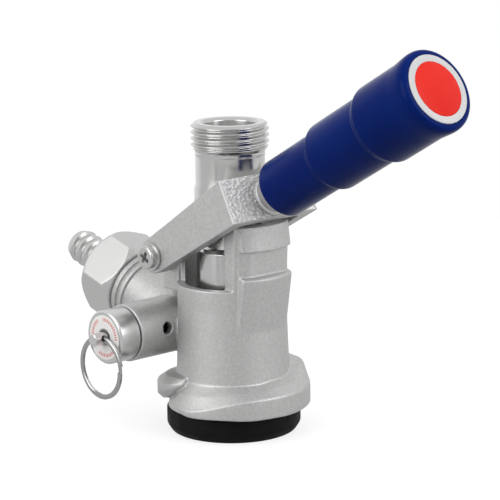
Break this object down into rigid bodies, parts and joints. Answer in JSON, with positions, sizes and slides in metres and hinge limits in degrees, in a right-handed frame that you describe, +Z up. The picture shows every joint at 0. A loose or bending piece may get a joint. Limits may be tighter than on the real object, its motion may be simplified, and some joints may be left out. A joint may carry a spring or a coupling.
{
  "type": "keg coupler",
  "caption": "Lever-handle keg coupler: turned body with bayonet wings, sliding probe with threaded outlet, pivoting pull-back handle, barbed gas inlet and ring-pull relief valve.",
  "frame": {"origin": "centre of the keg seat, on the probe's axis at the underside of the bottom seal", "axes": "+Z up the probe towards the threaded outlet, +X the way the lever handle points, -Y the way the relief valve points"},
  "size_m": [0.1608, 0.0588, 0.1185],
  "materials": {
    "casting": "bead-blasted satin casting",
    "turned_steel": "fine turned, bright",
    "nut_steel": "satin",
    "spring_steel": "polished wire",
    "seal_rubber": "matte",
    "grip_plastic": "smooth moulded gloss",
    "white_plastic": "smooth moulded gloss",
    "red_plastic": "smooth moulded gloss",
    "label_plastic": "smooth printed ring, kept bare",
    "washer_plastic": "smooth"
  },
  "bodies": {
    "coupler_body": {"body": "casting", "bottom_seal": "seal_rubber", "probe_oring_lower": "seal_rubber", "probe_oring_upper": "seal_rubber", "hinge_screw_near": "turned_steel", "hinge_screw_far": "turned_steel", "hinge_washer_near": "turned_steel", "hinge_washer_far": "turned_steel", "gas_check_valve": "seal_rubber", "gas_washer": "washer_plastic", "gas_tailpiece": "turned_steel", "gas_nut": "nut_steel", "relief_cap": "turned_steel", "relief_gasket": "seal_rubber", "relief_label": "label_plastic", "relief_spring": "spring_steel"},
    "lever": {"lever_yoke": "casting", "guide_tube": "turned_steel", "guide_bush": "turned_steel", "lock_spring": "spring_steel"},
    "handle": {"grip": "grip_plastic", "lock_rod": "turned_steel", "grip_nut": "turned_steel", "end_cap": "white_plastic", "end_disc": "red_plastic"},
    "probe_slide": {"probe": "turned_steel", "probe_seal": "seal_rubber"},
    "relief_valve": {"relief_stem": "turned_steel", "relief_poppet_seal": "seal_rubber"},
    "ring": {"pull_ring": "spring_steel"}
  },
  "joints": [
    {"name": "lever_pivot", "type": "hinge", "parent": "coupler_body", "child": "lever", "pos_m": [-0.0168, 0, 0.0519], "axis": [0, 1, 0], "range_deg": [0, 30]},
    {"name": "probe_travel", "type": "slide", "parent": "coupler_body", "child": "probe_slide", "axis": [0, 0, -1], "range_m": [0, 0.009]},
    {"name": "handle_pull", "type": "slide", "parent": "lever", "child": "handle", "axis": [0.8704, 0, 0.4924], "range_m": [-0.003, 0.005], "stiffness_N_per_m": 900, "deforming": ["lock_spring"]},
    {"name": "relief_pull", "type": "slide", "parent": "coupler_body", "child": "relief_valve", "axis": [0, -1, 0], "range_m": [0, 0.003], "stiffness_N_per_m": 2000, "springref_m": -0.004, "deforming": ["relief_spring"]},
    {"name": "ring_swing", "type": "hinge", "parent": "relief_valve", "child": "ring", "pos_m": [-0.0209, -0.0334, 0.0293], "axis": [-1, 0, 0], "range_deg": [0, 100]}
  ],
  "couplings": [
    {"joint": "probe_travel", "follows": "lever_pivot", "m_per_rad": 0.01707}
  ]
}
